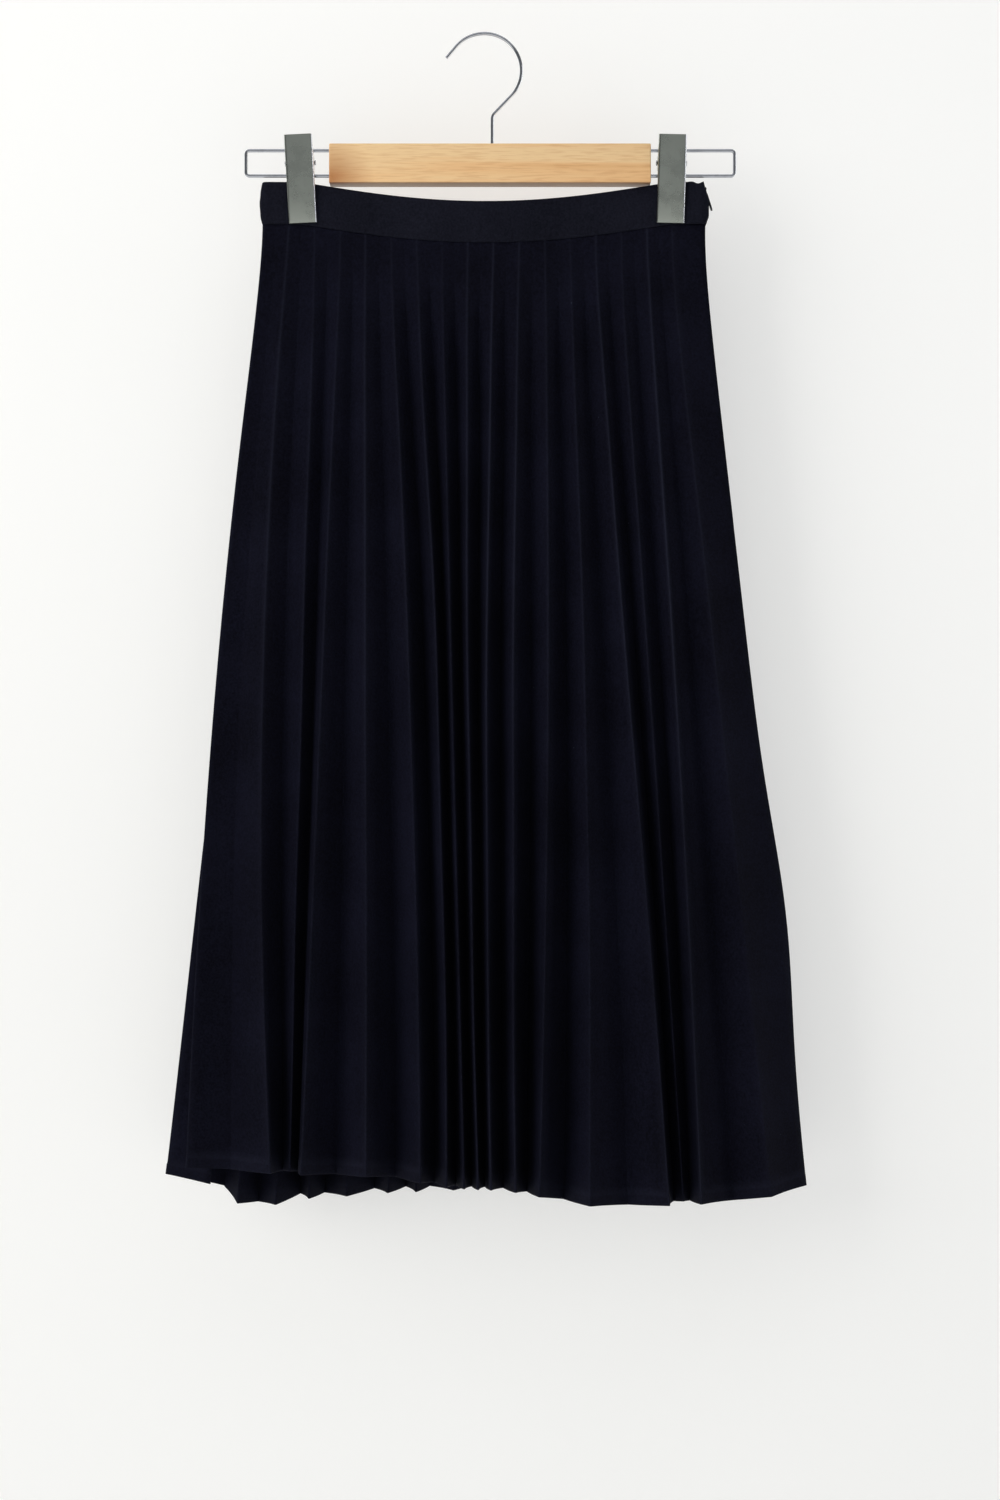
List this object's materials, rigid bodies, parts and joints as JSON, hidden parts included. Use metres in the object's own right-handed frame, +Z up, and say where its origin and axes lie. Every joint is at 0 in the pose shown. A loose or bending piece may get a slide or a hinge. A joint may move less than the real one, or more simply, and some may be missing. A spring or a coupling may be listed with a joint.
{
  "type": "pleated midi skirt on a clip hanger",
  "caption": "Dark navy fan-pleated midi skirt with a plain waistband and side zip, hanging flat from a wooden bar hanger with metal clips.",
  "frame": {"origin": "inside top of the hook, where a rail or peg carries the hanger", "axes": "+Z up, -Y the front of the skirt, +X towards the side with the zip"},
  "size_m": [0.4763, 0.081, 0.8731],
  "materials": {
    "cloth": "matte woven crepe",
    "zip_tape": "matte woven tape",
    "zip_metal": "black enamel",
    "wood": "clear satin varnish",
    "wire": "polished",
    "clip_steel": "nickelled, handled satin"
  },
  "bodies": {
    "root": {"hook": "wire", "wooden_bar": "wood", "loop_left": "wire", "loop_right": "wire", "front_jaw_left": "clip_steel", "back_jaw_left": "clip_steel", "pivot_pin_left": "wire", "spring_left": "wire", "front_jaw_right": "clip_steel", "back_jaw_right": "clip_steel", "pivot_pin_right": "wire", "spring_right": "wire", "waistband": "cloth", "front_panel": "cloth", "back_panel": "cloth", "zip_tape": "zip_tape", "zip_slider": "zip_metal"},
    "pull": {"zip_pull": "zip_metal"}
  },
  "joints": [
    {"name": "zip_pull_hinge", "type": "hinge", "parent": "root", "child": "pull", "pos_m": [0.163, 0, -0.1138], "axis": [0, -1, 0], "range_deg": [0, 90]}
  ]
}
